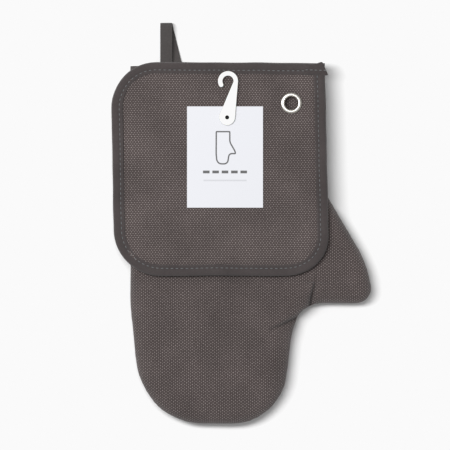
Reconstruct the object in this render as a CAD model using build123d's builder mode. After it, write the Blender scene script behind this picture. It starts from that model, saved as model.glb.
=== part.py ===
"""A quilted oven mitt with a matching square pot holder lying on its cuff, and the swing tag they are sold with.

The mitt lies flat with its fingers towards -Y and its hanging loop towards +Y. Z = 0 is the surface that it
lies on, and the origin is under the middle of the whole set. All sizes are in millimetres.
"""

import os
from functools import cache

from build123d import *

# ---- driving dimensions -------------------------------------------------------------------------------------

# cloth
CANVAS = 1.2  # outer canvas
LINING = 1.0  # cotton lining
MITT_WADDING = 3.6
TAPE = 0.6  # folded binding tape, one side
THREAD_WIDTH = 0.7  # topstitching, pulled into the tape
THREAD_DEPTH = 0.3
SEAM_THREAD = 1.0  # the seam that joins the halves of the mitt
LAY_GAP = 0.3  # between pieces that only lie on each other

# mitt
CUFF_Y = 124.0  # the mouth of the mitt
MITT_HALF_HEIGHT = 10.5
MITT_EDGE_RADIUS = 9.0
MITT_WALL = CANVAS + MITT_WADDING + LINING
CUFF_BINDING_WIDTH = 10.0
STITCH_FROM_BINDING_EDGE = 2.4
BEYOND_CUFF = 45.0  # the outline runs on this far past the mouth, where it is cut off
MITT_OUTLINE = [  # corner, and the radius that rounds it
    ((-87.5, CUFF_Y + BEYOND_CUFF), 20),
    ((-88.5, -62), 90),
    ((-81.5, -131), 44),
    ((-50, -157), 60),
    ((23.5, -160.5), 38),
    ((45, -62.5), 19),
    ((105.5, -63.5), 10),
    ((98, -31), 70),
    ((50, 51), 70),
    ((50, CUFF_Y + BEYOND_CUFF), 20),
]

# pot holder
HOLDER_SIZE = 170.0
HOLDER_CENTRE = (-17.0, 42.6)
HOLDER_CORNER_RADIUS = 33.0
HOLDER_RIM_HALF = 2.0  # half the thickness under the binding
HOLDER_CROWN_HALF = 3.5  # half the thickness in the middle
HOLDER_BINDING_WIDTH = 9.0
HOLDER_CROWN_INSET = 24.0
HOLDER_CLIPPED_CORNER = (4.5, 10.0)  # how far the corner by the eyelet is cut back along X and Y
HOLDER_STITCH_INSET = 6.3
TAPE_END_LENGTH = 13.0  # where the end of the tape laps over its start

# eyelet
EYELET_CENTRE = (39.1, 95.2)
EYELET_BORE_RADIUS = 5.0
EYELET_WALL = 0.5
EYELET_FLANGE_RADIUS = 8.1
EYELET_FLANGE_HEIGHT = 1.0
EYELET_MOUTH_HEIGHT = 0.4  # how far the straight bore runs up into the flange
EYELET_LIP_RADIUS = 6.4
WASHER_THICKNESS = 0.5
EYELET_DIP = 1.4  # how deep the eyelet pulls the cloth in
EYELET_DIP_RADIUS = 9.0

# swing tag
PIN_CENTRE = (-11.6, 83.9)
PIN_SHANK_RADIUS = 0.8
PIN_HEAD_RADIUS = 1.55
PIN_HEAD_DEPTH = 0.7
PIN_FOOT_RADIUS = 3.0
PIN_FOOT_THICKNESS = 0.8
PIN_CLEARANCE = 0.1
CARD_WIDTH = 60.0
CARD_LENGTH = 80.0
CARD_THICKNESS = 0.4
CARD_CENTRE = (-13.3, 52.6)
HOOK_THICKNESS = 1.6
HOOK_FOOT_RADIUS = 6.3
HOOK_BEND_CENTRE = (-10.9, 112.5)
HOOK_BEND_RADIUS = 6.15
HOOK_BAR_WIDTH = 3.7
HOOK_BEND_START = -8
HOOK_BEND_SWEEP = 216
HOOK_EDGE_RADIUS = 0.5

# hanging loop
LOOP_TAPE_WIDTH = 9.5
LOOP_TAPE_THICKNESS = 1.2
LOOP_LEFT_X = -64.6
LOOP_TIP_Y = 158.9
LOOP_BASE_Z = 0.2
LOOP_FOLD_HEIGHT = 9.0  # over both legs, at the fold
LOOP_ROOT_HEIGHT = 4.8  # where the legs run into the binding
LOOP_LEG_SHIFT = 7.3  # how far the lower leg stands to the right of the upper one at the root

# ---- levels -------------------------------------------------------------------------------------------------

SEAM_Z = MITT_HALF_HEIGHT
HOLDER_Z = 2 * MITT_HALF_HEIGHT + LAY_GAP + HOLDER_CROWN_HALF
CARD_Z = HOLDER_Z + HOLDER_CROWN_HALF + LAY_GAP
HOOK_Z = CARD_Z + CARD_THICKNESS + LAY_GAP
UP, DOWN = 1, -1

os.makedirs("parts", exist_ok=True)


def save(builder, name):
    """Labels a finished sub-part and writes it as its own STEP file."""
    builder.part.label = name
    export_step(builder.part, f"parts/{name}.step")


# ---- the mitt -----------------------------------------------------------------------------------------------


def mitt_profile(inset, z):
    """The flat outline of the mitt at height z, pulled in by inset, running on past the cuff."""
    with BuildSketch(Plane.XY.offset(z)) as profile:
        with BuildLine():
            corners = [corner for corner, _ in MITT_OUTLINE]
            FilletPolyline(*corners, radius=[radius for _, radius in MITT_OUTLINE], close=True)
        make_face()
        if inset:
            offset(amount=-inset)
    return profile.sketch


@cache
def mitt_half(inset, side):
    """The solid form of the mitt above (UP) or below (DOWN) its seam, pulled in by inset on every face."""
    with BuildPart() as half:
        extrude(mitt_profile(inset, SEAM_Z), amount=side * (MITT_HALF_HEIGHT - inset))
        far_face = half.faces().sort_by(Axis.Z)[-1 if side == UP else 0]
        fillet(far_face.edges(), MITT_EDGE_RADIUS - inset)
    return half.part


def cut_across(y, keep):
    """Cuts the part being built at Y, keeping the fingers' end (Keep.BOTTOM) or the mouth's (Keep.TOP)."""
    split(bisect_by=Plane(origin=(0, y, 0), z_dir=(0, 1, 0)), keep=keep)


def cuff_ring(outer, inner, y_low, y_high):
    """A ring round the mouth of the mitt, between two insets and two stations."""
    with BuildPart() as ring:
        add(mitt_half(outer, UP))
        add(mitt_half(outer, DOWN))
        add(mitt_half(inner, UP), mode=Mode.SUBTRACT)
        add(mitt_half(inner, DOWN), mode=Mode.SUBTRACT)
        cut_across(y_high, Keep.BOTTOM)
        cut_across(y_low, Keep.TOP)
    return ring.part


# The tape folds over the raw edges of the mouth, so the layers stop short of it and run inside it.
binding_low = CUFF_Y - CUFF_BINDING_WIDTH
with BuildPart() as cuff_binding_envelope:
    add(cuff_ring(0, MITT_WALL, binding_low, CUFF_Y))
    add(cuff_ring(TAPE, MITT_WALL - TAPE, binding_low, CUFF_Y - TAPE), mode=Mode.SUBTRACT)

# A lock stitch shows on both sides of the wall.
stitch_low = binding_low + STITCH_FROM_BINDING_EDGE
stitch_high = stitch_low + THREAD_WIDTH
with BuildPart() as cuff_stitching:
    add(cuff_ring(0, THREAD_DEPTH, stitch_low, stitch_high))
    add(cuff_ring(MITT_WALL - THREAD_DEPTH, MITT_WALL, stitch_low, stitch_high))
save(cuff_stitching, "cuff_stitching")

with BuildPart() as cuff_binding:
    add(cuff_binding_envelope.part)
    add(cuff_stitching.part, mode=Mode.SUBTRACT)
save(cuff_binding, "cuff_binding")

# The seam runs just inside the canvas, all round the hand and the thumb.
with BuildPart() as mitt_seam_thread:
    seam_thread_z = SEAM_Z - SEAM_THREAD / 2
    extrude(mitt_profile(CANVAS, seam_thread_z), amount=SEAM_THREAD)
    extrude(mitt_profile(CANVAS + SEAM_THREAD, seam_thread_z), amount=SEAM_THREAD, mode=Mode.SUBTRACT)
    cut_across(binding_low, Keep.BOTTOM)
save(mitt_seam_thread, "mitt_seam_thread")

WADDING_INSET = CANVAS
LINING_INSET = CANVAS + MITT_WADDING
LAYERS = {"canvas": (0, WADDING_INSET), "wadding": (WADDING_INSET, LINING_INSET), "lining": (LINING_INSET, MITT_WALL)}
for half_name, side in (("front", UP), ("back", DOWN)):
    for layer_name, (outer, inner) in LAYERS.items():
        with BuildPart() as mitt_layer:
            add(mitt_half(outer, side))
            add(mitt_half(inner, side), mode=Mode.SUBTRACT)
            cut_across(CUFF_Y - TAPE, Keep.BOTTOM)
            add(cuff_binding_envelope.part, mode=Mode.SUBTRACT)
            add(mitt_seam_thread.part, mode=Mode.SUBTRACT)
        save(mitt_layer, f"mitt_{half_name}_{layer_name}")

# ---- the hanging loop ---------------------------------------------------------------------------------------

# One length of tape, folded back on itself. Its axis is the upper edge of its root, so that it lifts freely.
fold_radius = LOOP_FOLD_HEIGHT / 2
fold_y = LOOP_TIP_Y - fold_radius
loop_root_y = CUFF_Y + LAY_GAP
with BuildPart() as hanging_loop:
    with BuildSketch(Plane.YZ.offset(LOOP_LEFT_X)):
        with BuildLine():
            root_top = (loop_root_y, LOOP_BASE_Z + LOOP_ROOT_HEIGHT)
            fold_top = (fold_y, LOOP_BASE_Z + LOOP_FOLD_HEIGHT)
            fold_bottom = (fold_y, LOOP_BASE_Z)
            inner_bottom = (fold_y, LOOP_BASE_Z + LOOP_TAPE_THICKNESS)
            inner_top = (fold_y, LOOP_BASE_Z + LOOP_FOLD_HEIGHT - LOOP_TAPE_THICKNESS)
            root_bottom = (loop_root_y, LOOP_BASE_Z + LOOP_ROOT_HEIGHT - LOOP_TAPE_THICKNESS)
            Line(root_top, fold_top)
            ThreePointArc(fold_top, (LOOP_TIP_Y, LOOP_BASE_Z + fold_radius), fold_bottom)
            Line(fold_bottom, inner_bottom)
            ThreePointArc(
                inner_bottom, (LOOP_TIP_Y - LOOP_TAPE_THICKNESS, LOOP_BASE_Z + fold_radius), inner_top
            )
            Polyline(inner_top, root_bottom, root_top)
        make_face()
    extrude(amount=LOOP_TAPE_WIDTH)
    # the lower leg runs back to the root at a slight angle
    with BuildSketch(Plane.XY.offset(LOOP_BASE_Z)):
        with BuildLine():
            root_left = LOOP_LEFT_X + LOOP_LEG_SHIFT
            Polyline(
                (LOOP_LEFT_X, fold_y),
                (LOOP_LEFT_X + LOOP_TAPE_WIDTH, fold_y),
                (root_left + LOOP_TAPE_WIDTH, loop_root_y),
                (root_left, loop_root_y),
                close=True,
            )
        make_face()
    extrude(amount=LOOP_TAPE_THICKNESS)
    # and both meet in the folded-down end that the binding holds
    with BuildSketch(Plane.XY.offset(LOOP_BASE_Z)):
        with Locations((LOOP_LEFT_X, loop_root_y)):
            Rectangle(LOOP_LEG_SHIFT + LOOP_TAPE_WIDTH, LOOP_TAPE_THICKNESS, align=(Align.MIN, Align.MIN))
    extrude(amount=LOOP_ROOT_HEIGHT)
save(hanging_loop, "hanging_loop")

# ---- the swing tag ------------------------------------------------------------------------------------------

hook_top = HOOK_Z + HOOK_THICKNESS
pin_z = HOLDER_Z - HOLDER_CROWN_HALF

# A snap pin: its foot lies in the back canvas, and its head is sunk in the foot of the hook.
with BuildPart() as tag_pin:
    with BuildSketch(Plane.XY.offset(pin_z)):
        with Locations(PIN_CENTRE):
            Circle(PIN_FOOT_RADIUS)
    extrude(amount=PIN_FOOT_THICKNESS)
    with BuildSketch(Plane.XY.offset(pin_z)):
        with Locations(PIN_CENTRE):
            Circle(PIN_SHANK_RADIUS)
    extrude(amount=hook_top - pin_z)
    with BuildSketch(Plane.XY.offset(hook_top)):
        with Locations(PIN_CENTRE):
            Circle(PIN_HEAD_RADIUS)
    extrude(amount=PIN_CLEARANCE - PIN_HEAD_DEPTH)
save(tag_pin, "tag_pin")

with BuildPart() as tag_card:
    with BuildSketch(Plane.XY.offset(CARD_Z)):
        with Locations(CARD_CENTRE):
            Rectangle(CARD_WIDTH, CARD_LENGTH)
        with Locations(PIN_CENTRE):
            Circle(PIN_SHANK_RADIUS + PIN_CLEARANCE, mode=Mode.SUBTRACT)
    extrude(amount=CARD_THICKNESS)
save(tag_card, "tag_card")

with BuildPart() as tag_hook:
    with BuildSketch(Plane.XY.offset(HOOK_Z)):
        with Locations(PIN_CENTRE):
            Circle(HOOK_FOOT_RADIUS)
        bend = CenterArc(HOOK_BEND_CENTRE, HOOK_BEND_RADIUS, HOOK_BEND_START, HOOK_BEND_SWEEP)
        with Locations(bend @ 0):
            Circle(HOOK_BAR_WIDTH / 2)
        make_hull()
        SlotArc(bend, HOOK_BAR_WIDTH)
    extrude(amount=HOOK_THICKNESS)
    fillet(tag_hook.faces().sort_by(Axis.Z)[-1].edges(), HOOK_EDGE_RADIUS)
    with Locations((*PIN_CENTRE, hook_top)):
        CounterBoreHole(PIN_SHANK_RADIUS + PIN_CLEARANCE, PIN_HEAD_RADIUS + PIN_CLEARANCE, PIN_HEAD_DEPTH)
save(tag_hook, "tag_hook")

# ---- the pot holder -----------------------------------------------------------------------------------------


def holder_profile(inset, z):
    """The flat outline of the pot holder: three round corners, and a clipped one beside the eyelet."""
    left, right = (HOLDER_CENTRE[0] + end * HOLDER_SIZE / 2 for end in (-1, 1))
    bottom, top = (HOLDER_CENTRE[1] + end * HOLDER_SIZE / 2 for end in (-1, 1))
    clip_x, clip_y = HOLDER_CLIPPED_CORNER
    corners = [(left, top), (left, bottom), (right, bottom), (right, top - clip_y), (right - clip_x, top)]
    radii = [HOLDER_CORNER_RADIUS, HOLDER_CORNER_RADIUS, HOLDER_CORNER_RADIUS, 0, 0]
    with BuildSketch(Plane.XY.offset(z)) as profile:
        with BuildLine():
            FilletPolyline(*corners, radius=radii, close=True)
        make_face()
        if inset:
            offset(amount=-inset, kind=Kind.INTERSECTION)
    return profile.sketch


@cache
def holder_half(shrink, side):
    """The solid form of the pot holder above or below its middle, thinner by shrink, with the eyelet's dip and hole."""
    rim_z = HOLDER_Z + side * (HOLDER_RIM_HALF - shrink)
    crown_z = HOLDER_Z + side * (HOLDER_CROWN_HALF - shrink)
    with BuildPart() as half:
        extrude(holder_profile(TAPE, HOLDER_Z), amount=rim_z - HOLDER_Z)
        loft([holder_profile(HOLDER_BINDING_WIDTH, rim_z), holder_profile(HOLDER_CROWN_INSET, crown_z)], ruled=True)
        with BuildSketch(Plane.XY.offset(crown_z)):
            with Locations(EYELET_CENTRE):
                Circle(EYELET_DIP_RADIUS + shrink)
        extrude(amount=-side * EYELET_DIP, mode=Mode.SUBTRACT)
        with BuildSketch(Plane.XY.offset(HOLDER_Z)):
            with Locations(EYELET_CENTRE):
                Circle(EYELET_BORE_RADIUS + EYELET_WALL)
        extrude(amount=side * HOLDER_CROWN_HALF, mode=Mode.SUBTRACT)
        add(tag_pin.part, mode=Mode.SUBTRACT)
    return half.part


for face_name, side in (("front", UP), ("back", DOWN)):
    with BuildPart() as holder_canvas:
        add(holder_half(0, side))
        add(holder_half(CANVAS, side), mode=Mode.SUBTRACT)
    save(holder_canvas, f"holder_{face_name}_canvas")

with BuildPart() as holder_wadding:
    add(holder_half(CANVAS, UP))
    add(holder_half(CANVAS, DOWN))
save(holder_wadding, "holder_wadding")

# The thread lies flush in the tape on both faces.
tape_face = HOLDER_RIM_HALF + TAPE
with BuildPart() as holder_stitching:
    for z, depth in ((HOLDER_Z + tape_face, -THREAD_DEPTH), (HOLDER_Z - tape_face, THREAD_DEPTH)):
        extrude(holder_profile(HOLDER_STITCH_INSET, z), amount=depth)
        extrude(holder_profile(HOLDER_STITCH_INSET + THREAD_WIDTH, z), amount=depth, mode=Mode.SUBTRACT)
save(holder_stitching, "holder_stitching")

with BuildPart() as holder_binding:
    extrude(holder_profile(0, HOLDER_Z), amount=tape_face, both=True)
    # the end of the tape laps over its start at the clipped corner
    with BuildSketch(Plane.XY.offset(HOLDER_Z)):
        add(holder_profile(-TAPE, 0))
        corner_x = HOLDER_CENTRE[0] + HOLDER_SIZE / 2
        corner_y = HOLDER_CENTRE[1] + HOLDER_SIZE / 2
        with Locations((corner_x - TAPE_END_LENGTH, corner_y - HOLDER_BINDING_WIDTH)):
            Rectangle(
                2 * TAPE_END_LENGTH, 2 * HOLDER_BINDING_WIDTH, align=(Align.MIN, Align.MIN), mode=Mode.INTERSECT
            )
    extrude(amount=tape_face + TAPE, both=True)
    extrude(holder_profile(HOLDER_BINDING_WIDTH, HOLDER_Z), amount=tape_face + TAPE, both=True, mode=Mode.SUBTRACT)
    extrude(holder_profile(TAPE, HOLDER_Z), amount=HOLDER_RIM_HALF, both=True, mode=Mode.SUBTRACT)
    add(holder_stitching.part, mode=Mode.SUBTRACT)
save(holder_binding, "holder_binding")

# ---- the eyelet ---------------------------------------------------------------------------------------------

eyelet_plane = Plane(origin=(*EYELET_CENTRE, HOLDER_Z), x_dir=(1, 0, 0), z_dir=(0, -1, 0))
eyelet_axis = Axis((*EYELET_CENTRE, 0), (0, 0, 1))
cloth_face = HOLDER_CROWN_HALF - EYELET_DIP
barrel_radius = EYELET_BORE_RADIUS + EYELET_WALL
lip_z = -cloth_face - WASHER_THICKNESS

with BuildPart() as eyelet:
    with BuildSketch(eyelet_plane):
        with BuildLine():
            Polyline(
                (EYELET_BORE_RADIUS, cloth_face + EYELET_MOUTH_HEIGHT),
                (EYELET_BORE_RADIUS, lip_z - EYELET_WALL),
                (EYELET_LIP_RADIUS, lip_z - EYELET_WALL),
                (EYELET_LIP_RADIUS, lip_z),
                (barrel_radius, lip_z),
                (barrel_radius, cloth_face),
                (EYELET_FLANGE_RADIUS, cloth_face),
            )
            ThreePointArc(
                (EYELET_FLANGE_RADIUS, cloth_face),
                ((EYELET_BORE_RADIUS + EYELET_FLANGE_RADIUS) / 2, cloth_face + EYELET_FLANGE_HEIGHT),
                (EYELET_BORE_RADIUS, cloth_face + EYELET_MOUTH_HEIGHT),
            )
        make_face()
    revolve(axis=eyelet_axis)
save(eyelet, "eyelet")

with BuildPart() as eyelet_washer:
    with BuildSketch(Plane.XY.offset(HOLDER_Z + lip_z)):
        with Locations(EYELET_CENTRE):
            Circle(EYELET_FLANGE_RADIUS)
            Circle(barrel_radius, mode=Mode.SUBTRACT)
    extrude(amount=WASHER_THICKNESS)
save(eyelet_washer, "eyelet_washer")
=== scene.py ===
"""A quilted canvas oven mitt, the square pot holder that lies on its cuff, and their swing tag."""

from math import acos, exp, pi, radians, sin, tan

import bmesh
import bpy
from mathutils import Matrix, Vector, geometry, kdtree, noise


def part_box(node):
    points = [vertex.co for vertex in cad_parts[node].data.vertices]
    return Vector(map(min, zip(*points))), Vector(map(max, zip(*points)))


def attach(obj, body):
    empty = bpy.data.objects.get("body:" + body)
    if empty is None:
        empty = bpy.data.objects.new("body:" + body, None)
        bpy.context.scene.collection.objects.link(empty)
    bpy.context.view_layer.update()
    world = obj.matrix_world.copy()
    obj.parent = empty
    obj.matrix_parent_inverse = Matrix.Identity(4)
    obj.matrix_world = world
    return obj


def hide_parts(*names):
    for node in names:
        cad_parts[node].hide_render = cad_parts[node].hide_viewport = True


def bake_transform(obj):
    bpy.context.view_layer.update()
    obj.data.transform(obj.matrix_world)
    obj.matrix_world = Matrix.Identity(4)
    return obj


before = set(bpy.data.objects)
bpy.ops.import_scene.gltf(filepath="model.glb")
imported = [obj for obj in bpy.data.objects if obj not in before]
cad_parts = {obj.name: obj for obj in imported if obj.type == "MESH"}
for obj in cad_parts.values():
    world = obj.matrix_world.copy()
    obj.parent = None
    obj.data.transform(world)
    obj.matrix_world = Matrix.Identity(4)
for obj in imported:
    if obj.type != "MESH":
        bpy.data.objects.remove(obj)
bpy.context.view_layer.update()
scene = bpy.context.scene

# ---- camera -------------------------------------------------------------------------------------------
# The set lies on a table and is seen from straight above, through a long lens.

seen_width = 0.3555
seen_middle = (-0.0133, -0.0011)
camera_data = bpy.data.cameras.new("camera")
camera_data.lens = 800
camera_data.sensor_width = 36
camera = bpy.data.objects.new("camera", camera_data)
scene.collection.objects.link(camera)
holder_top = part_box("holder_front_canvas")[1].z
camera.location = (*seen_middle, holder_top + seen_width * camera_data.lens / camera_data.sensor_width)
scene.camera = camera

# ---- table and light ----------------------------------------------------------------------------------
# A plain white table, an even white sky, and one broad lamp up on the left that makes the soft shadows.
# The tones stop just short of white.

brightest = 0.956
scene.view_settings.view_transform = "Standard"
scene.view_settings.use_curve_mapping = True
tone = scene.view_settings.curve_mapping
tone.extend = "HORIZONTAL"
for end, level in zip(tone.curves[3].points, (0.0, brightest)):
    end.location = (level, level)
    end.handle_type = "VECTOR"
tone.update()


def node(tree, kind, inputs=None, **settings):
    """Adds a node, sets its properties, and sets or links its sockets."""
    made = tree.nodes.new("ShaderNode" + kind)
    for name, value in settings.items():
        setattr(made, name, value)
    for name, value in (inputs or {}).items():
        if isinstance(value, bpy.types.NodeSocket):
            tree.links.new(value, made.inputs[name])
        else:
            made.inputs[name].default_value = value
    return made


def plain_material(name, colour, roughness):
    """A material with the principled shader alone. Returns it, its tree and the shader."""
    material = bpy.data.materials.new(name)
    material.use_nodes = True
    shader = material.node_tree.nodes["Principled BSDF"]
    shader.inputs["Base Color"].default_value = (*colour, 1)
    shader.inputs["Roughness"].default_value = roughness
    return material, material.node_tree, shader


def new_piece(name, form, material, smooth=True):
    """Turns a bmesh into an object with one material."""
    mesh = bpy.data.meshes.new(name)
    form.to_mesh(mesh)
    form.free()
    mesh.materials.append(material)
    if smooth:
        mesh.shade_smooth()
    piece = bpy.data.objects.new(name, mesh)
    scene.collection.objects.link(piece)
    return piece


table_top = bmesh.new()
bmesh.ops.create_grid(table_top, x_segments=1, y_segments=1, size=3)
table_white, _, _ = plain_material("table white", (0.86, 0.86, 0.86), 0.7)
table = new_piece("table", table_top, table_white, smooth=False)

sky = bpy.data.worlds.new("sky")
sky.use_nodes = True
sky.node_tree.nodes["Background"].inputs["Color"].default_value = (1, 1, 1, 1)
sky.node_tree.nodes["Background"].inputs["Strength"].default_value = 0.45
scene.world = sky

lamp_data = bpy.data.lights.new("lamp", "AREA")
lamp_data.shape = "ELLIPSE"
lamp_data.size = 1.2
lamp_data.size_y = 0.4
lamp_data.energy = 26
lamp = bpy.data.objects.new("lamp", lamp_data)
lamp.location = (-0.46, 0.25, 1.6)
lamp.rotation_euler = (0, -0.27, 0)
scene.collection.objects.link(lamp)

# ---- the mitt's shell ---------------------------------------------------------------------------------
# Two panels of canvas backed with wadding, seamed round hand and thumb and turned right side out. The
# shell is soft and padded, lies flat underneath, and creases where the thumb meets the palm.

mitt_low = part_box("mitt_back_canvas")[0]
mitt_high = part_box("mitt_front_canvas")[1]
cuff_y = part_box("cuff_binding")[1].y
seam_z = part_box("mitt_front_canvas")[0].z
holder_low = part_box("holder_binding")[0]
mitt_edge_radius = 0.009
shell_wall = 0.0048
room_below = 0.0006
room_above = 0.0004
mitt_corners = [  # x, y, and the radius that rounds the corner
    (-0.0875, cuff_y + 0.03, 0.012),
    (-0.0886, -0.062, 0.09),
    (-0.0814, -0.1315, 0.055),
    (-0.0510, -0.1580, 0.048),
    (0.0302, -0.1590, 0.043),
    (0.0398, -0.0865, 0.030),
    (0.0451, -0.0710, 0.009),
    (0.0579, -0.0630, 0.017),
    (0.1052, -0.0630, 0.012),
    (0.0986, -0.0305, 0.07),
    (0.0512, 0.0515, 0.07),
    (0.0508, cuff_y + 0.03, 0.012),
]


def rounded_face(form, corners, z):
    """One flat face whose corners are rounded, each by its own radius."""
    arc_step = 0.0025
    points = [form.verts.new((x, y, z)) for x, y, _ in corners]
    form.faces.new(points)
    places = [point.co.copy() for point in points]
    for place, point, (_, _, radius) in zip(places, points, corners):
        index = places.index(place)
        before = place - places[index - 1]
        after = places[(index + 1) % len(places)] - place
        turn = before.angle(after)
        if radius:
            bmesh.ops.bevel(
                form,
                geom=[point],
                offset=radius * tan(turn / 2),
                segments=max(4, round(radius * turn / arc_step)),
                profile=0.5,
                affect="VERTICES",
                material=-1,
            )
    form.normal_update()
    face = form.faces[:][0]
    if face.normal.z < 0:
        face.normal_flip()
    return face


def rims(form):
    """The level edges where a form's top and bottom meet its upright sides."""
    level = [edge for edge in form.edges if abs(edge.verts[0].co.z - edge.verts[1].co.z) < 1e-6]
    return [edge for edge in level if edge.calc_face_angle(0) > 1]


def raised_form(corners, low, high, edge_radius):
    """A closed form with that outline, its upper and lower rims rounded."""
    form = bmesh.new()
    face = rounded_face(form, corners, low)
    raised = bmesh.ops.extrude_face_region(form, geom=[face])["geom"]
    top = [item for item in raised if isinstance(item, bmesh.types.BMVert)]
    bmesh.ops.translate(form, verts=top, vec=(0, 0, high - low))
    bmesh.ops.recalc_face_normals(form, faces=form.faces)
    bmesh.ops.bevel(
        form, geom=rims(form), offset=edge_radius, segments=6, profile=0.5, affect="EDGES", material=-1
    )
    return form


def apply_modifiers(piece):
    """Replaces a piece's mesh with what its modifiers make of it."""
    made = bpy.data.meshes.new_from_object(piece.evaluated_get(bpy.context.evaluated_depsgraph_get()))
    piece.modifiers.clear()
    piece.data = made


def padded_piece(name, form, material, voxel, pressure, cap):
    """An even mesh over the form, blown up like stuffed cloth. Each point's travel is held to cap(point),
    and hardly any of it is sideways, because the outline is that of the stuffed piece already."""
    kept_travel = Vector((0.1, 0.1, 1))
    piece = new_piece(name, form, material)
    remesh = piece.modifiers.new("even faces", "REMESH")
    remesh.mode = "VOXEL"
    remesh.voxel_size = voxel
    apply_modifiers(piece)
    piece.data.shade_smooth()
    rest = [vertex.co.copy() for vertex in piece.data.vertices]
    normals = [vertex.normal.copy() for vertex in piece.data.vertices]
    stuffing = piece.modifiers.new("stuffing", "CLOTH")
    stuffing.settings.quality = 5
    stuffing.settings.mass = 0.3
    stuffing.settings.bending_stiffness = 2
    stuffing.settings.use_pressure = True
    stuffing.settings.uniform_pressure_force = pressure
    stuffing.settings.effector_weights.gravity = 0
    for step in range(1, 21):
        scene.frame_set(step)
    apply_modifiers(piece)
    scene.frame_set(1)
    for vertex, start in zip(piece.data.vertices, rest):
        move = (vertex.co - start) * kept_travel
        limit = cap(start)
        if move.length > limit:
            move.length = limit
        vertex.co = start + move
    return piece, rest, normals


def lay_cloth(piece, rest, normals, low, high, edge_radius):
    """Maps the cloth flat, in metres: over a rounded rim it runs on by the length of the arc."""
    cloth = piece.data.uv_layers.new(name="cloth")
    middle = (low + high) / 2
    straight = (high - low) / 2 - edge_radius
    laid = []
    for point, normal in zip(rest, normals):
        up = abs(point.z - middle)
        turn = acos(min(1, max(0, (up - straight) / edge_radius)))
        beyond = edge_radius * (turn - sin(turn)) + max(0, straight - up)
        sideways = Vector((normal.x, normal.y))
        shift = sideways.normalized() * beyond if sideways.length > 0.05 else Vector((0, 0))
        laid.append(point.xy + shift)
    for loop in piece.data.loops:
        cloth.data[loop.index].uv = laid[loop.vertex_index]


def woven_material(name, dark, middle, light, pitch, turned=False, bump=0.00014, laid=True):
    """Plain-woven cloth: the warp floats as light dots in every other cell, and the weft lies darker
    between. It follows the cloth as laid, or is taken from the piece's own place."""
    material, tree, shader = plain_material(name, middle, 0.92)
    shader.inputs["Sheen Weight"].default_value = 0.15
    shader.inputs["Sheen Roughness"].default_value = 0.6
    shader.inputs["Specular IOR Level"].default_value = 0.15
    if laid:
        cloth = node(tree, "UVMap", uv_map="cloth").outputs["UV"]
    else:
        point = node(tree, "SeparateXYZ", {"Vector": node(tree, "TexCoord").outputs["Object"]}).outputs
        over = node(tree, "Math", {0: point["X"], 1: point["Z"]}, operation="ADD").outputs[0]
        up = node(tree, "Math", {0: point["Y"], 1: point["Z"]}, operation="ADD").outputs[0]
        cloth = node(tree, "CombineXYZ", {"X": over, "Y": up}).outputs["Vector"]
    wander = node(tree, "TexNoise", {"Vector": cloth, "Scale": 170.0, "Detail": 1.0}).outputs["Color"]
    offset = node(tree, "VectorMath", {0: wander, 1: (0.5, 0.5, 0.5)}, operation="SUBTRACT").outputs[0]
    small = node(tree, "VectorMath", {0: offset, "Scale": 0.8 * pitch[0]}, operation="SCALE").outputs[0]
    place = node(tree, "VectorMath", {0: cloth, 1: small}, operation="ADD").outputs[0]
    split = node(tree, "SeparateXYZ", {"Vector": place})
    across, along = split.outputs["X"], split.outputs["Y"]
    if turned:
        across, along = along, across

    def ranged(value, start, end, low=0.0, high=1.0, way="LINEAR"):
        """The value carried from start..end to low..high, and held there."""
        ends = {"Value": value, "From Min": start, "From Max": end, "To Min": low, "To Max": high}
        return node(tree, "MapRange", ends, interpolation_type=way).outputs[0]

    waves = []
    for run, size in ((across, pitch[0]), (along, pitch[1])):
        phase = node(tree, "Math", {0: run, 1: pi / size}, operation="MULTIPLY").outputs[0]
        waves.append(node(tree, "Math", {0: phase}, operation="SINE").outputs[0])
    float_height = node(tree, "Math", {0: waves[0], 1: waves[1]}, operation="MULTIPLY").outputs[0]
    warp = ranged(float_height, 0.1, 0.95, way="SMOOTHSTEP")
    weft = ranged(float_height, -0.05, -0.9, way="SMOOTHSTEP")
    streaks = node(tree, "TexNoise", {"Vector": cloth, "Scale": 420.0, "Detail": 2.0}).outputs[0]
    lively = ranged(streaks, 0.3, 0.7, 0.55, 1.0)
    warp_share = node(tree, "Math", {0: warp, 1: lively}, operation="MULTIPLY").outputs[0]
    ground = node(tree, "Mix", {"Factor": weft, "A": (*dark, 1), "B": (*middle, 1)}, data_type="RGBA")
    mixed = {"Factor": warp_share, "A": ground.outputs["Result"], "B": (*light, 1)}
    colours = node(tree, "Mix", mixed, data_type="RGBA").outputs["Result"]
    # Broad light and dark patches: partly the cloth's own uneven tone, partly painted shade standing in
    # for the shading of broad wrinkles.
    clouds = node(tree, "TexNoise", {"Vector": cloth, "Scale": 28.0, "Detail": 3.0}).outputs[0]
    uneven_tone_and_shade = ranged(clouds, 0.25, 0.75, 0.80, 1.20)
    toned = node(tree, "VectorMath", {0: colours, "Scale": uneven_tone_and_shade}, operation="SCALE").outputs[0]
    # Painted shade: where a piece carries the fold attribute (along the mitt's creases), the colour is
    # darkened to as little as 35%.
    folded = node(tree, "Attribute", attribute_name="fold").outputs["Fac"]
    crease_shade_factor = ranged(folded, 0.0, 1.0, 1.0, 0.35)
    shaded = node(tree, "VectorMath", {0: toned, "Scale": crease_shade_factor}, operation="SCALE").outputs[0]
    tree.links.new(shaded, shader.inputs["Base Color"])
    relief = node(tree, "Math", {0: float_height}, operation="ABSOLUTE").outputs[0]
    raised = node(tree, "Bump", {"Height": relief, "Strength": 0.6, "Distance": bump}).outputs["Normal"]
    tree.links.new(raised, shader.inputs["Normal"])
    return material


canvas_tones = (0.036, 0.027, 0.026), (0.083, 0.0655, 0.0635), (0.268, 0.232, 0.224)
mitt_canvas = woven_material("mitt canvas", *canvas_tones, (0.00115, 0.00148), turned=True)


def swell(point):
    """How far the stuffing may push a point of the mitt: least at the cuff, most in the fingers."""
    return 0.0005 + 0.0022 * min(1, max(0, (cuff_y - point.y) / 0.08))


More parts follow.
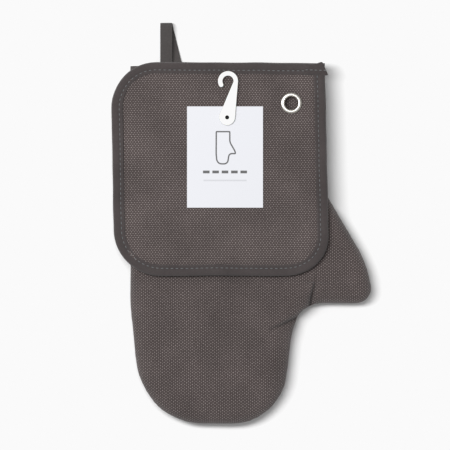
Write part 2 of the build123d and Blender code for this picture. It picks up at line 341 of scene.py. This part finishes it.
mitt, mitt_rest, mitt_normals = padded_piece(
    "mitt_shell",
    raised_form(mitt_corners, mitt_low.z + room_below, mitt_high.z - room_above, mitt_edge_radius),
    mitt_canvas,
    voxel=0.003,
    pressure=4,
    cap=swell,
)
lay_cloth(mitt, mitt_rest, mitt_normals, mitt_low.z, mitt_high.z, mitt_edge_radius)

thumb_crease = [
    (0.0500, -0.0715),
    (0.0535, -0.0640),
    (0.0552, -0.0560),
    (0.0578, -0.0480),
    (0.0590, -0.0340),
]
palm_crease = [
    (0.0470, -0.0725),
    (0.0420, -0.0746),
    (0.0360, -0.0777),
    (0.0300, -0.0808),
    (0.0210, -0.0845),
]
creases = [  # the line of each crease, how deep it is, how wide its valley is, and which side bulges
    (thumb_crease, 0.0055, 0.0010, 1),
    (palm_crease, 0.0050, 0.0012, -1),
]


def from_crease(point, line):
    """How far a point lies to the left of a crease's line, and how far along the line it is."""
    best, share, left = 1, 0, 1
    for index, (start, end) in enumerate(zip(line, line[1:])):
        start, end = Vector(start), Vector(end)
        along = min(1, max(0, geometry.intersect_point_line(point.xy, start, end)[1]))
        gap = point.xy - start.lerp(end, along)
        if gap.length < best:
            best, share = gap.length, (index + along) / (len(line) - 1)
            left = 1 if (end - start).cross(gap) > 0 else -1
    return best * left, share


fine = bmesh.new()
fine.from_mesh(mitt.data)
for reach in (0.012, 0.006, 0.003):
    near_crease = [
        edge
        for edge in fine.edges
        if edge.verts[0].co.z > seam_z
        and min(abs(from_crease(edge.verts[0].co, crease[0])[0]) for crease in creases) < reach
    ]
    bmesh.ops.subdivide_edges(fine, edges=near_crease, cuts=1, use_grid_fill=True)
fine.normal_update()
lump_height = 0.0009
seam_ridge = 0.0007
seam_half_width = 0.0024
far_slope = 2.2  # how much wider a crease's valley is on the side away from its bulge
bulge_share, bulge_place, bulge_width = 0.26, 0.0038, 0.0030
crease_shade_width = 0.0009
tape_room_above = 0.0007
tape_room_below = 0.001
# The fold attribute holds painted shade: a narrow dark band along each crease line, fading along the
# crease, that darkens the canvas colour.
fold = fine.verts.layers.float.new("fold")
for vertex in fine.verts:
    upper = min(1, max(0, (vertex.co.z - seam_z) / 0.006))
    flat = Vector((vertex.co.x, vertex.co.y, 0))
    lumps = noise.noise(flat * 38) + 0.5 * noise.noise(flat * 90 + Vector((0, 0, 3)))
    sideways = Vector((vertex.normal.x, vertex.normal.y, 0))
    at_seam = max(0, 1 - abs(vertex.co.z - seam_z) / seam_half_width)
    lift = lump_height * lumps
    for line, depth, width, bulging_side in creases:
        left, share = from_crease(vertex.co, line)
        bulging = left * bulging_side
        valley = exp(-((left / (width if bulging > 0 else far_slope * width)) ** 2))
        bulge = bulge_share * exp(-(((bulging - bulge_place) / bulge_width) ** 2))
        fading = (1 - share) ** 0.6
        lift -= depth * fading * (valley - bulge)
        vertex[fold] = max(vertex[fold], upper * fading * exp(-((left / crease_shade_width) ** 2)))
    vertex.co += sideways * (seam_ridge - seam_ridge * at_seam) + Vector((0, 0, upper * lift))
    at_cuff = min(1, max(0, (vertex.co.y - cuff_y + 0.022) / 0.008))
    under_holder = vertex.co.y > holder_low.y - 0.004
    ceiling = mitt_high.z - 0.0001 - tape_room_above * at_cuff if under_holder else mitt_high.z + 0.004
    vertex.co.z = min(ceiling, max(tape_room_below * at_cuff, vertex.co.z))
fine.to_mesh(mitt.data)
fine.free()


def cut_across(form, y, keep_fingers):
    """Cuts the form at y, and keeps the side towards the fingers or the side towards the loop."""
    bmesh.ops.bisect_plane(
        form,
        geom=form.verts[:] + form.edges[:] + form.faces[:],
        plane_co=(0, y, 0),
        plane_no=(0, 1, 0),
        clear_outer=keep_fingers,
        clear_inner=not keep_fingers,
    )


uncut_shell = mitt.data.copy()
mouth = bmesh.new()
mouth.from_mesh(mitt.data)
cut_across(mouth, cuff_y - 0.0015, keep_fingers=True)
mouth.to_mesh(mitt.data)
mouth.free()
mitt.data.shade_smooth()
wall = mitt.modifiers.new("wadding", "SOLIDIFY")
wall.thickness = shell_wall
wall.offset = -1
smoother = mitt.modifiers.new("softened", "SUBSURF")
smoother.levels = 1
smoother.render_levels = 1
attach(mitt, "mitt")
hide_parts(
    "mitt_front_canvas",
    "mitt_front_wadding",
    "mitt_back_canvas",
    "mitt_back_wadding",
    "mitt_seam_thread",
)

# ---- the lining ---------------------------------------------------------------------------------------
# An undyed cotton pocket that shows in the mouth of the mitt. Its raw edge is caught under the cuff's
# tape.

lining_inset = 0.0047
lining_cloth = 0.001
lining_edge_radius = 0.004
lining = bmesh.new()
pocket_face = rounded_face(lining, mitt_corners, mitt_low.z + lining_inset)
bmesh.ops.inset_region(
    lining, faces=[pocket_face], thickness=lining_inset, use_boundary=True, use_even_offset=True
)
trimmings = [face for face in lining.faces if face != pocket_face]
bmesh.ops.delete(lining, geom=trimmings, context="FACES")
raised = bmesh.ops.extrude_face_region(lining, geom=[pocket_face])["geom"]
lining_top = [item for item in raised if isinstance(item, bmesh.types.BMVert)]
bmesh.ops.translate(lining, verts=lining_top, vec=(0, 0, mitt_high.z - mitt_low.z - 2 * lining_inset))
bmesh.ops.recalc_face_normals(lining, faces=lining.faces)
bmesh.ops.bevel(
    lining,
    geom=rims(lining),
    offset=lining_edge_radius,
    segments=4,
    profile=0.5,
    affect="EDGES",
    material=-1,
)
cut_across(lining, cuff_y - 0.002, keep_fingers=True)
lining_tones = (0.52, 0.49, 0.44), (0.60, 0.57, 0.52), (0.70, 0.67, 0.62)
lining_cotton = woven_material("lining cotton", *lining_tones, (0.0006, 0.0006), laid=False)
lining_piece = new_piece("mitt_lining", lining, lining_cotton)
lining_wall = lining_piece.modifiers.new("cloth", "SOLIDIFY")
lining_wall.thickness = lining_cloth
lining_wall.offset = -1
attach(lining_piece, "mitt")
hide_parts("mitt_front_lining", "mitt_back_lining")

# ---- the cuff's tape ----------------------------------------------------------------------------------
# A plain tape folded over the raw edges of the mouth, cut to the shell, and lock-stitched through the
# wall.

tape_thickness = 0.0006
cuff_tape_width = 0.009
stitch_from_edge = 0.0024
trim = 0.0008  # the rounding draws this much in at each edge
tape_tones = (0.039, 0.032, 0.032), (0.062, 0.0525, 0.052), (0.110, 0.094, 0.092)
tape_pitch = (0.00055, 0.00055)
binding_tape = woven_material("binding tape", *tape_tones, tape_pitch, laid=False)
cuff = bmesh.new()
cuff.from_mesh(uncut_shell)
cut_across(cuff, cuff_y + trim, keep_fingers=True)
cut_across(cuff, cuff_y - cuff_tape_width - trim, keep_fingers=False)
cuff_piece = new_piece("cuff_tape", cuff, binding_tape)
folded = cuff_piece.modifiers.new("folded over the wall", "SOLIDIFY")
folded.thickness = shell_wall + lining_cloth + 2 * tape_thickness
folded.offset = 2 * tape_thickness / folded.thickness - 1
rounded = cuff_piece.modifiers.new("rounded fold", "SUBSURF")
rounded.levels = 2
rounded.render_levels = 2
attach(cuff_piece, "mitt")
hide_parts("cuff_binding")

thread_material, thread_tree, thread_shader = plain_material("sewing thread", (0.13, 0.135, 0.14), 0.7)
thread_shader.inputs["Sheen Weight"].default_value = 0.3
thread_place = node(thread_tree, "TexCoord").outputs["Object"]
ply = node(thread_tree, "TexNoise", {"Vector": thread_place, "Scale": 2600.0, "Detail": 1.0}).outputs[0]
ply_tones = {"Factor": ply, "A": (0.085, 0.089, 0.093, 1), "B": (0.165, 0.171, 0.177, 1)}
thread_tone = node(thread_tree, "Mix", ply_tones, data_type="RGBA")
thread_tree.links.new(thread_tone.outputs["Result"], thread_shader.inputs["Base Color"])
ply_relief = node(thread_tree, "Bump", {"Height": ply, "Strength": 0.5, "Distance": 0.0001})
thread_tree.links.new(ply_relief.outputs["Normal"], thread_shader.inputs["Normal"])


def sew(form, path, face_of_cloth, pitch, length, width, closed=True):
    """Lays one stitch for each pitch of the path: a short bead along it, half sunk in the cloth. Returns
    the stitches' places."""
    points = path + path[:1] if closed else path
    steps = [(end - start).length for start, end in zip(points, points[1:])]
    count = round(sum(steps) / pitch)
    gap = sum(steps) / count
    places = []
    for number in range(count):
        run = gap * (number + 0.5)
        index = 0
        while run > steps[index]:
            run -= steps[index]
            index += 1
        along = (points[index + 1] - points[index]).normalized()
        place = points[index] + along * run
        up = face_of_cloth(place)
        turned = Matrix((along * length / 2, up.cross(along) * width / 2, up * width / 2)).transposed()
        laid = Matrix.Translation(place) @ turned.to_4x4()
        bmesh.ops.create_uvsphere(form, u_segments=8, v_segments=5, radius=1, matrix=laid)
        places.append(place)
    return places


def cut_line(mesh, y):
    """The closed line where the plane at y cuts a mesh, as points in order."""
    form = bmesh.new()
    form.from_mesh(mesh)
    cut = bmesh.ops.bisect_plane(
        form,
        geom=form.verts[:] + form.edges[:] + form.faces[:],
        plane_co=(0, y, 0),
        plane_no=(0, 1, 0),
        clear_outer=True,
    )["geom_cut"]
    edges = {item for item in cut if isinstance(item, bmesh.types.BMEdge)}
    vertex = min(edges, key=lambda edge: edge.verts[0].co.x).verts[0]
    line = []
    while edges:
        edge = next(item for item in vertex.link_edges if item in edges)
        edges.remove(edge)
        line.append(vertex.co.copy())
        vertex = edge.other_vert(vertex)
    form.free()
    return line


cuff_stitch_y = cuff_y - cuff_tape_width + stitch_from_edge
cuff_line = cut_line(uncut_shell, cuff_stitch_y)
cuff_middle = (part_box("cuff_binding")[0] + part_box("cuff_binding")[1]) / 2
half_width = (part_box("cuff_binding")[1].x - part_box("cuff_binding")[0].x) / 2 - mitt_edge_radius


def out_of_cuff(point):
    """Straight out of the cuff's wall: up or down over its flat faces, and round its two edges."""
    from_middle = point - cuff_middle
    beyond = max(0, abs(from_middle.x) - half_width) * (1 if from_middle.x > 0 else -1)
    return Vector((beyond, 0, from_middle.z)).normalized()


stitch_pitch = 0.0039
stitch_length = 0.0025
stitch_width = 0.0007
cuff_seam = bmesh.new()
wall_and_tape = shell_wall + lining_cloth + tape_thickness
outside = [point + out_of_cuff(point) * tape_thickness for point in cuff_line]
sew(cuff_seam, outside, out_of_cuff, stitch_pitch, stitch_length, stitch_width)
inside = [point - out_of_cuff(point) * wall_and_tape for point in cuff_line]
sew(cuff_seam, inside, out_of_cuff, stitch_pitch, stitch_length, stitch_width)
cuff_seam_piece = new_piece("cuff_stitches", cuff_seam, thread_material)
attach(cuff_seam_piece, "mitt")
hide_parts("cuff_stitching")

# ---- the hanging loop ---------------------------------------------------------------------------------
# A length of the same tape, folded lengthwise and back on itself. Both ends run into the cuff's tape, and
# the lower leg comes back at a slight angle to the upper one.

loop_low, loop_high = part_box("hanging_loop")
loop_width = 0.0095
loop_cloth = 0.0011
loop_tip = loop_high.y + 0.0006
loop_shift = loop_high.x - loop_low.x - loop_width + 0.001
loop_stations = [  # y and z down the middle of the tape, from its upper end round the fold
    (cuff_y - 0.006, 0.0042),
    (cuff_y + 0.0003, 0.0046),
    (cuff_y + 0.008, 0.0058),
    (cuff_y + 0.018, 0.0074),
    (cuff_y + 0.027, 0.0086),
    (loop_tip - 0.0040, 0.0088),
    (loop_tip - 0.0014, 0.0074),
    (loop_tip - 0.0006, 0.0048),
    (loop_tip - 0.0014, 0.0022),
    (loop_tip - 0.0040, 0.0009),
    (cuff_y + 0.024, 0.0008),
    (cuff_y + 0.014, 0.0010),
    (cuff_y + 0.006, 0.0016),
    (cuff_y + 0.0003, 0.0024),
    (cuff_y - 0.006, 0.0030),
]
loop_tones = (0.047, 0.042, 0.041), (0.079, 0.072, 0.070), (0.135, 0.123, 0.120)
loop_tape = woven_material("loop tape", *loop_tones, tape_pitch, laid=False)
loop = bmesh.new()
first_y, first_z = loop_stations[0]
shares = (0, 0.33, 0.67, 1)
tape_end = [loop.verts.new((loop_low.x + loop_width * share, first_y, first_z)) for share in shares]
tape_end = [loop.edges.new(pair) for pair in zip(tape_end, tape_end[1:])]
fold_index = 7
for index, (y, z) in enumerate(loop_stations[1:], start=1):
    drift = loop_shift if index > fold_index else 0
    before_y, before_z = loop_stations[index - 1]
    share = (loop_high.y - y) / (loop_high.y - cuff_y)
    before_share = (loop_high.y - before_y) / (loop_high.y - cuff_y)
    grown = bmesh.ops.extrude_edge_only(loop, edges=tape_end)["geom"]
    tape_end = [item for item in grown if isinstance(item, bmesh.types.BMEdge)]
    moved = [item for item in grown if isinstance(item, bmesh.types.BMVert)]
    step = (drift * (share - before_share), y - before_y, z - before_z)
    bmesh.ops.translate(loop, verts=moved, vec=step)
bmesh.ops.recalc_face_normals(loop, faces=loop.faces)
loop_piece = new_piece("hanging_loop_tape", loop, loop_tape)
loop_body = loop_piece.modifiers.new("folded tape", "SOLIDIFY")
loop_body.thickness = loop_cloth
loop_body.offset = 0
loop_edges = loop_piece.modifiers.new("soft edges", "BEVEL")
loop_edges.width = 0.0003
loop_edges.segments = 2
loop_edges.limit_method = "ANGLE"
loop_edges.angle_limit = radians(60)
loop_round = loop_piece.modifiers.new("round", "SUBSURF")
loop_round.levels = 2
loop_round.render_levels = 2
apply_modifiers(loop_piece)
loop_piece.data.shade_smooth()
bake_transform(loop_piece)
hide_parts("hanging_loop")

# ---- the pot holder's pad -----------------------------------------------------------------------------
# Two squares of the canvas, turned the other way, with wadding between. The pad is fullest in the middle
# and drawn in round the eyelet.

holder_z = (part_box("holder_front_canvas")[1].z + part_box("holder_back_canvas")[0].z) / 2
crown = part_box("holder_front_canvas")[1].z - holder_z
eyelet_middle = (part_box("eyelet_washer")[0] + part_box("eyelet_washer")[1]) / 2
eyelet_radius = 0.0085
hole_radius = 0.0056
holder_corners = [  # x, y, and the radius that rounds the corner
    (-0.1037, 0.1280, 0.036),
    (-0.1007, -0.0414, 0.037),
    (0.0692, -0.0414, 0.032),
    (0.0657, 0.1268, 0),
]
pad_rim = 0.0020
pad_edge_radius = 0.002
pad_inset = 0.0008
holder_tones = (0.039, 0.029, 0.028), (0.089, 0.071, 0.068), (0.277, 0.241, 0.232)
holder_canvas = woven_material("pot holder canvas", *holder_tones, (0.00111, 0.00145))
holder_middle = sum((Vector((x, y)) for x, y, _ in holder_corners), Vector((0, 0))) / 4
pad_corners = []
for x, y, radius in holder_corners:
    inwards_x = 1 if x < holder_middle.x else -1
    inwards_y = 1 if y < holder_middle.y else -1
    pad_corners.append((x + pad_inset * inwards_x, y + pad_inset * inwards_y, radius))


def plump(point):
    """How far the stuffing may push a point of the pad."""
    return 0.0012


pad, pad_rest, pad_normals = padded_piece(
    "holder_pad",
    raised_form(pad_corners, holder_z - pad_rim, holder_z + pad_rim, pad_edge_radius),
    holder_canvas,
    voxel=0.0025,
    pressure=3,
    cap=plump,
)
lay_cloth(pad, pad_rest, pad_normals, holder_z - pad_rim, holder_z + pad_rim, pad_edge_radius)
holder_half = 0.085
tape_reach = 0.0085
shoulder = 0.018
eyelet_draw = 0.0013
tape_draw = 0.0008
for vertex, start in zip(pad.data.vertices, pad_rest):
    side = 1 if start.z > holder_z else -1
    flat = min(1, abs(start.z - holder_z) / pad_rim)
    from_edge = holder_half - max(abs(start.x - holder_middle.x), abs(start.y - holder_middle.y))
    rise = min(1, max(0, (from_edge - tape_reach) / shoulder))
    fullness = (crown - pad_rim - 0.0004) * (1 - (1 - rise) ** 2)
    flattened = Vector((start.x, start.y, side))
    lumps = noise.noise(flattened * 30) + 0.5 * noise.noise(flattened * 70)
    from_eyelet = (start.xy - eyelet_middle.xy).length
    drawn_in = eyelet_draw * exp(-((max(0, from_eyelet - eyelet_radius) / 0.005) ** 2))
    beside_tape = tape_draw * exp(-(((from_edge - tape_reach - 0.0007) / 0.0016) ** 2))
    height = pad_rim + fullness * (1 + 0.3 * lumps) - drawn_in - beside_tape
    vertex.co.z = holder_z + side * flat * min(height, crown - 0.0001)

cutter_form = bmesh.new()
bmesh.ops.create_cone(
    cutter_form,
    cap_ends=True,
    segments=48,
    radius1=hole_radius,
    radius2=hole_radius,
    depth=0.03,
    matrix=Matrix.Translation(eyelet_middle),
)
cutter = new_piece("hole cutter", cutter_form, holder_canvas)
hole = pad.modifiers.new("eyelet hole", "BOOLEAN")
hole.operation = "DIFFERENCE"
hole.object = cutter
apply_modifiers(pad)
bpy.data.objects.remove(cutter)
pad.data.shade_smooth()
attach(pad, "potholder")
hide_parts("holder_front_canvas", "holder_wadding", "holder_back_canvas")

# ---- the pot holder's tape ----------------------------------------------------------------------------
# The same tape, folded over the pad's edge all round and lock-stitched near its inner edge. Its end laps
# over its start at the square corner, and flares out a little.

stitch_row = 9
tape_rows = [  # how far in from the row before, and how high above the pad's middle
    (0.0002, 0.0013),
    (0.0004, 0.0022),
    (0.0007, 0.0028),
    (0.0009, 0.0031),
    (0.0010, 0.0032),
    (0.0010, 0.0032),
    (0.0009, 0.0030),
    (0.0006, 0.0026),
    (0.0005, 0.0025),
    (0.0007, 0.0029),
    (0.0009, 0.0031),
    (0.0006, 0.0030),
    (0.0004, 0.0027),
    (0.0001, 0.0016),
]
ring = bmesh.new()
ring_face = rounded_face(ring, holder_corners, holder_z)
stitch_line = []
for number, (step, height) in enumerate(tape_rows, start=1):
    bmesh.ops.inset_region(
        ring, faces=[ring_face], thickness=step, use_boundary=True, use_even_offset=True
    )
    for vertex in ring_face.verts:
        vertex.co.z = holder_z + height
    if number == stitch_row:
        stitch_line = [vertex.co.copy() for vertex in ring_face.verts]
bmesh.ops.delete(ring, geom=[ring_face], context="FACES_ONLY")
long_edges = [edge for edge in ring.edges if edge.calc_length() > 0.02]
bmesh.ops.subdivide_edges(ring, edges=long_edges, cuts=90, use_grid_fill=True)
bmesh.ops.mirror(
    ring,
    geom=ring.verts[:] + ring.edges[:] + ring.faces[:],
    matrix=Matrix.Translation((0, 0, -holder_z)),
    merge_dist=0.00001,
    axis="Z",
)
bmesh.ops.recalc_face_normals(ring, faces=ring.faces)


def straight_up(point):
    """Out of the flat face of the tape."""
    return Vector((0, 0, 1))


holder_seam = bmesh.new()
stitched = kdtree.KDTree(4000)
for side in (1, -1):
    line = [Vector((*point.xy, holder_z + side * (point.z - holder_z))) for point in stitch_line]
    for place in sew(holder_seam, line, straight_up, stitch_pitch, stitch_length, stitch_width):
        stitched.insert(place, 0)
stitched.balance()
pull_depth = 0.0003
pull_width = 0.0016
for vertex in ring.verts:
    side = 1 if vertex.co.z > holder_z else -1
    pulled = exp(-((stitched.find(vertex.co)[2] / pull_width) ** 2))
    puffed = 0.00025 * noise.noise(vertex.co * 140) + 0.0002 * noise.noise(vertex.co * 420)
    vertex.co.z += side * (puffed - pull_depth * pulled) * min(1, abs(vertex.co.z - holder_z) / 0.002)


waviness = 0.0004  # a hand-sewn edge is never quite straight
for vertex in ring.verts[:] + holder_seam.verts[:]:
    spot = Vector((vertex.co.x, vertex.co.y, 0)) * 40
    vertex.co += Vector((noise.noise(spot), noise.noise(spot + Vector((9, 0, 0))), 0)) * waviness
edging_tape = woven_material("edging tape", *tape_tones, tape_pitch)
ring_piece = new_piece("holder_tape", ring, edging_tape)
ring_height = max(height for _, height in tape_rows)
ring_places = [vertex.co.copy() for vertex in ring_piece.data.vertices]
ring_normals = [vertex.normal.copy() for vertex in ring_piece.data.vertices]
ring_low, ring_high = holder_z - ring_height, holder_z + ring_height
lay_cloth(ring_piece, ring_places, ring_normals, ring_low, ring_high, ring_height)
ring_body = ring_piece.modifiers.new("tape", "SOLIDIFY")
ring_body.thickness = 0.0005
ring_body.offset = -1
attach(ring_piece, "potholder")
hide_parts("holder_binding")

lap_outline = [
    (0.0470, 0.1266),
    (0.0578, 0.1262),
    (0.0636, 0.1281),
    (0.0684, 0.1174),
    (0.0655, 0.1170),
    (0.0560, 0.1174),
    (0.0470, 0.1176),
]
lap_height = 0.0035
lap_edge_radius = 0.0012
lap_start_share = 0.72  # the lap is thinner where it starts
lap_start = 0.048
lap = bmesh.new()
lap_face = lap.faces.new([lap.verts.new((x, y, holder_z - lap_height)) for x, y in lap_outline])
if lap_face.normal.z < 0:
    lap_face.normal_flip()
lap_raised = bmesh.ops.extrude_face_region(lap, geom=[lap_face])["geom"]
lap_top = [item for item in lap_raised if isinstance(item, bmesh.types.BMVert)]
bmesh.ops.translate(lap, verts=lap_top, vec=(0, 0, 2 * lap_height))
bmesh.ops.recalc_face_normals(lap, faces=lap.faces)
for vertex in lap.verts:
    if vertex.co.x < lap_start:
        vertex.co.z = holder_z + (vertex.co.z - holder_z) * lap_start_share
bmesh.ops.bevel(
    lap,
    geom=[edge for edge in lap.edges if edge.calc_face_angle(0) > 1],
    offset=lap_edge_radius,
    segments=4,
    profile=0.5,
    affect="EDGES",
    material=-1,
    clamp_overlap=True,
)
lap_piece = new_piece("holder_tape_end", lap, binding_tape)
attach(lap_piece, "potholder")
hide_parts("holder_binding")

lap_seam = max(point.y for point in stitch_line)
lap_seam_ends = (0.0495, lap_seam + 0.000015), (0.0675, lap_seam - 0.000525)
for side in (1, -1):
    line = [Vector((*end, holder_z + side * lap_height)) for end in lap_seam_ends]
    sew(holder_seam, line, straight_up, stitch_pitch, stitch_length, stitch_width, closed=False)
holder_seam_piece = new_piece("holder_stitches", holder_seam, thread_material)
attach(holder_seam_piece, "potholder")
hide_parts("holder_stitching")

# ---- the eyelet ---------------------------------------------------------------------------------------
# A nickelled eyelet: its flange shows on the front, its barrel goes through the pad, and its end is
# rolled over a washer on the back.

nickel, nickel_tree, nickel_shader = plain_material("nickelled brass", (0.56, 0.535, 0.49), 0.32)
nickel_shader.inputs["Metallic"].default_value = 1
nickel_place = node(nickel_tree, "TexCoord").outputs["Object"]
scuffs = node(nickel_tree, "TexNoise", {"Vector": nickel_place, "Scale": 350.0, "Detail": 2.0}).outputs[0]
scuffed = node(nickel_tree, "MapRange", {"Value": scuffs, "To Min": 0.29, "To Max": 0.35}).outputs[0]
nickel_tree.links.new(scuffed, nickel_shader.inputs["Roughness"])


def turned_ring(name, profile, middle, material):
    """A ring turned from a closed profile of radius and height about the eyelet's axis."""
    form = bmesh.new()
    places = [(middle.x + radius, middle.y, holder_z + height) for radius, height in profile]
    points = [form.verts.new(place) for place in places]
    edges = [form.edges.new(pair) for pair in zip(points, points[1:] + points[:1])]
    bmesh.ops.spin(
        form,
        geom=points + edges,
        cent=(middle.x, middle.y, 0),
        axis=(0, 0, 1),
        angle=2 * pi,
        steps=64,
        use_merge=True,
    )
    bmesh.ops.remove_doubles(form, verts=form.verts, dist=0.000005)
    bmesh.ops.recalc_face_normals(form, faces=form.faces)
    piece = new_piece(name, form, material)
    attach(piece, "potholder")
    return piece


eyelet_profile = [
    (0.0051, 0.0024),
    (0.0053, 0.0030),
    (0.0057, 0.0034),
    (0.0062, 0.0036),
    (0.0067, 0.0036),
    (0.0073, 0.0035),
    (0.0079, 0.0033),
    (0.0083, 0.0030),
    (0.0085, 0.0025),
    (0.0084, 0.0020),
    (0.0055, 0.0020),
    (0.0055, -0.0024),
    (0.0061, -0.0024),
    (0.0064, -0.0027),
    (0.0063, -0.0031),
    (0.0057, -0.0032),
    (0.0053, -0.0030),
    (0.0051, -0.0024),
]
eyelet = turned_ring("eyelet_ring", eyelet_profile, eyelet_middle, nickel)
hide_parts("eyelet")
washer_profile = [
    (0.0055, -0.0021),
    (0.0080, -0.0019),
    (0.0081, -0.0021),
    (0.0074, -0.0026),
    (0.0055, -0.0027),
]
washer = turned_ring("eyelet_back_washer", washer_profile, eyelet_middle, nickel)
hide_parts("eyelet_washer")

# ---- the swing tag ------------------------------------------------------------------------------------
# A card of coated board, a moulded display hook over it, and the black snap pin that holds both to the
# pad. The print on the card is a plain outline of a mitt over bars.


def dress(name, material):
    """Gives a part of the frame its finish."""
    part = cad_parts[name]
    part.data.materials.clear()
    part.data.materials.append(material)


board, board_tree, board_shader = plain_material("coated board", (0.632, 0.638, 0.672), 0.6)
board_place = node(board_tree, "TexCoord").outputs["Object"]
fibres = node(board_tree, "TexNoise", {"Vector": board_place, "Scale": 1500.0, "Detail": 3.0}).outputs[0]
board_relief = node(board_tree, "Bump", {"Height": fibres, "Strength": 0.1, "Distance": 0.00005})
board_tree.links.new(board_relief.outputs["Normal"], board_shader.inputs["Normal"])
dress("tag_card", board)

plastic_white = (0.66, 0.67, 0.655)
moulded, moulded_tree, moulded_shader = plain_material("white moulded plastic", plastic_white, 0.35)
moulded_shader.inputs["Subsurface Weight"].default_value = 0.05
moulded_shader.inputs["Subsurface Scale"].default_value = 0.001
moulded_place = node(moulded_tree, "TexCoord").outputs["Object"]
flow = node(moulded_tree, "TexNoise", {"Vector": moulded_place, "Scale": 300.0, "Detail": 2.0}).outputs[0]
moulded_relief = node(moulded_tree, "Bump", {"Height": flow, "Strength": 0.15, "Distance": 0.0001})
moulded_tree.links.new(moulded_relief.outputs["Normal"], moulded_shader.inputs["Normal"])
dress("tag_hook", moulded)

nylon, nylon_tree, nylon_shader = plain_material("black nylon", (0.006, 0.006, 0.007), 0.6)
nylon_shader.inputs["Specular IOR Level"].default_value = 0.1
nylon_place = node(nylon_tree, "TexCoord").outputs["Object"]
grain = node(nylon_tree, "TexNoise", {"Vector": nylon_place, "Scale": 2000.0}).outputs[0]
nylon_relief = node(nylon_tree, "Bump", {"Height": grain, "Strength": 0.2, "Distance": 0.00005})
nylon_tree.links.new(nylon_relief.outputs["Normal"], nylon_shader.inputs["Normal"])
dress("tag_pin", nylon)

card_low, card_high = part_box("tag_card")
card_middle = (card_low + card_high) / 2
ink_thickness = 0.00004


def printing_ink(name, thin, thick):
    """Ink that covers the board not quite evenly."""
    material, tree, shader = plain_material(name, thick, 0.5)
    place = node(tree, "TexCoord").outputs["Object"]
    cover = node(tree, "TexNoise", {"Vector": place, "Scale": 1200.0, "Detail": 2.0}).outputs[0]
    tone = node(tree, "Mix", {"Factor": cover, "A": (*thin, 1), "B": (*thick, 1)}, data_type="RGBA")
    tree.links.new(tone.outputs["Result"], shader.inputs["Base Color"])
    return material


ink = printing_ink("dark grey ink", (0.075, 0.075, 0.077), (0.045, 0.045, 0.047))
pale_ink = printing_ink("pale grey ink", (0.52, 0.526, 0.555), (0.48, 0.486, 0.515))
print_scale = 0.085
symbol_line = 0.0011
symbol_middle = Vector((card_middle.x, card_middle.y + 0.0075, 0))
bar_pitch = 0.0074
bar_drop = 0.0118
line_drop = 0.0185


def printed(name, form, material):
    """Ink on the card: a film too thin to feel."""
    raised = bmesh.ops.extrude_face_region(form, geom=form.faces[:])["geom"]
    film = [item for item in raised if isinstance(item, bmesh.types.BMVert)]
    bmesh.ops.translate(form, verts=film, vec=(0, 0, ink_thickness))
    bmesh.ops.recalc_face_normals(form, faces=form.faces)
    piece = new_piece(name, form, material, smooth=False)
    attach(piece, "tag")
    return piece


symbol = bmesh.new()
symbol_corners = [tuple(size * print_scale for size in corner) for corner in mitt_corners]
symbol_face = rounded_face(symbol, symbol_corners, card_high.z)
bmesh.ops.inset_region(
    symbol, faces=[symbol_face], thickness=symbol_line, use_boundary=True, use_even_offset=True
)
bmesh.ops.delete(symbol, geom=[symbol_face], context="FACES_ONLY")
bmesh.ops.translate(symbol, verts=symbol.verts, vec=symbol_middle)
printed("tag_symbol", symbol, ink)


def bar(form, x, y, width, height):
    """A flat bar on the card."""
    place = Matrix.Translation((x, y, card_high.z)) @ Matrix.Diagonal((width, height, 1, 1))
    bmesh.ops.create_grid(form, x_segments=1, y_segments=1, size=0.5, matrix=place)


bars = bmesh.new()
for number in range(5):
    bar(bars, card_middle.x + (number - 2) * bar_pitch, card_middle.y - bar_drop, 0.0052, 0.0022)
printed("tag_bars", bars, ink)
line = bmesh.new()
bar(line, card_middle.x, card_middle.y - line_drop, 0.034, 0.0012)
printed("tag_line", line, pale_ink)
